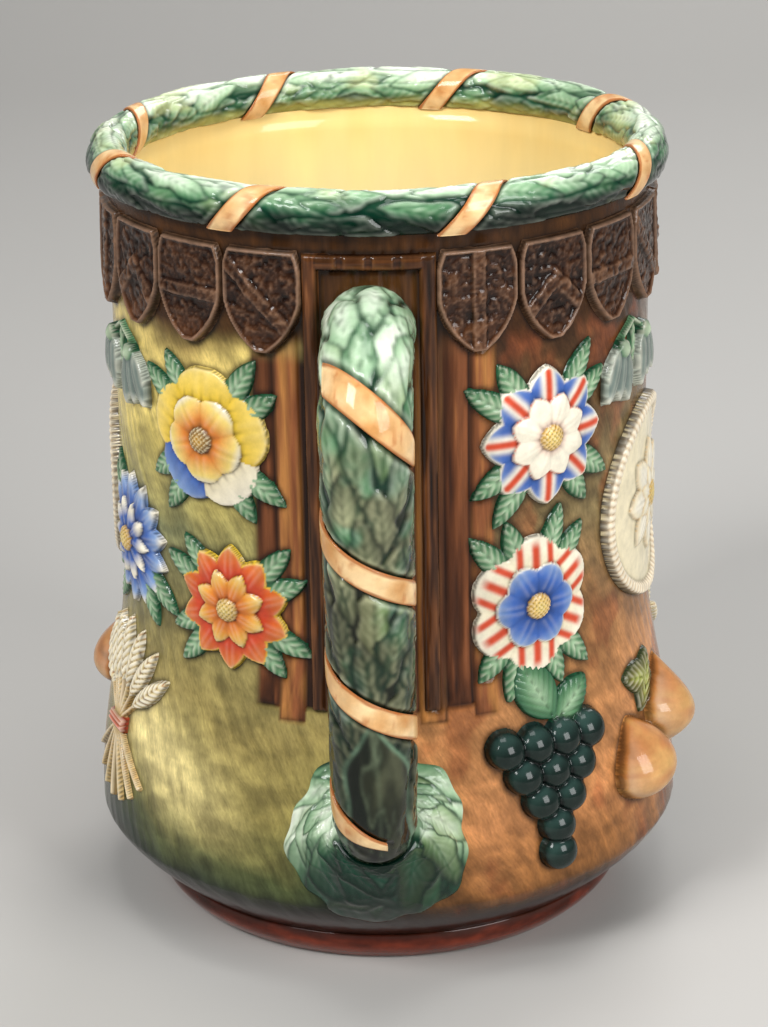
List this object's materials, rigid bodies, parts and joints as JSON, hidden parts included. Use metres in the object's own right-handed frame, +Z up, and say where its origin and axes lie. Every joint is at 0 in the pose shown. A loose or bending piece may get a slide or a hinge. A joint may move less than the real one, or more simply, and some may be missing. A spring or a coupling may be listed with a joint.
{
  "type": "loving cup",
  "caption": "Two-handled glazed earthenware loving cup with a waisted body, laurel garland rim, laurel handles wound with ribbon and a sprigged band of shields, flowers and fruit",
  "frame": {"origin": "middle of the foot ring on the table, which is the bottom middle of the bounding box", "axes": "+Z up the cup, +Y from the front handle to the rear handle, +X to the right as seen from the front handle"},
  "size_m": [0.2044, 0.2752, 0.2539],
  "materials": {
    "ground_glaze": "glossy olive and ochre lead glaze, yellow inside",
    "terracotta_glaze": "glossy terracotta glaze",
    "laurel_glaze": "glossy green glaze, pale on the crests",
    "collar_glaze": "glossy pale green glaze",
    "ribbon_glaze": "glossy peach glaze",
    "timber_glaze": "glossy brown wood-grained glaze",
    "shield_glaze": "glossy dark brown glaze broken to tan on the edges",
    "cream_glaze": "glossy cream glaze",
    "blue_glaze": "glossy blue and white glaze with red",
    "ivory_glaze": "glossy ivory glaze striped red",
    "yellow_glaze": "glossy yellow glaze",
    "aster_glaze": "glossy blue glaze",
    "red_glaze": "glossy orange-red glaze",
    "grape_glaze": "glossy black-green glaze",
    "copper_glaze": "glossy copper-tan glaze",
    "straw_glaze": "glossy straw glaze",
    "bell_glaze": "glossy grey-green glaze"
  },
  "bodies": {
    "root": {"body": "ground_glaze", "foot_ring": "terracotta_glaze", "rim_garland": "laurel_glaze", "rim_ribbon_1": "ribbon_glaze", "rim_ribbon_2": "ribbon_glaze", "rim_ribbon_3": "ribbon_glaze", "rim_ribbon_4": "ribbon_glaze", "rim_ribbon_5": "ribbon_glaze", "rim_ribbon_6": "ribbon_glaze", "rim_ribbon_7": "ribbon_glaze", "rim_ribbon_8": "ribbon_glaze", "front_handle": "laurel_glaze", "rear_handle": "laurel_glaze", "front_handle_ribbon": "ribbon_glaze", "rear_handle_ribbon": "ribbon_glaze", "front_leaf_collar": "collar_glaze", "rear_leaf_collar": "collar_glaze", "front_trellis": "timber_glaze", "rear_trellis": "timber_glaze", "shield_1": "shield_glaze", "shield_2": "shield_glaze", "shield_3": "shield_glaze", "shield_4": "shield_glaze", "shield_5": "shield_glaze", "shield_6": "shield_glaze", "shield_7": "shield_glaze", "shield_8": "shield_glaze", "shield_9": "shield_glaze", "shield_10": "shield_glaze", "shield_11": "shield_glaze", "shield_12": "shield_glaze", "shield_13": "shield_glaze", "shield_14": "shield_glaze", "shield_15": "shield_glaze", "shield_16": "shield_glaze", "shield_17": "shield_glaze", "shield_18": "shield_glaze", "medallion_a": "cream_glaze", "medallion_b": "cream_glaze", "rosette_a": "blue_glaze", "rosette_b": "blue_glaze", "striped_flower_a": "ivory_glaze", "striped_flower_b": "ivory_glaze", "pansy_a": "yellow_glaze", "pansy_b": "yellow_glaze", "aster_a": "aster_glaze", "aster_b": "aster_glaze", "dahlia_a": "red_glaze", "dahlia_b": "red_glaze", "grapes_a": "grape_glaze", "grapes_b": "grape_glaze", "pears_a": "copper_glaze", "pears_b": "copper_glaze", "wheat_a": "straw_glaze", "wheat_b": "straw_glaze", "east_bells_a": "bell_glaze", "east_bells_b": "bell_glaze", "west_bells_a": "bell_glaze", "west_bells_b": "bell_glaze"}
  },
  "joints": []
}
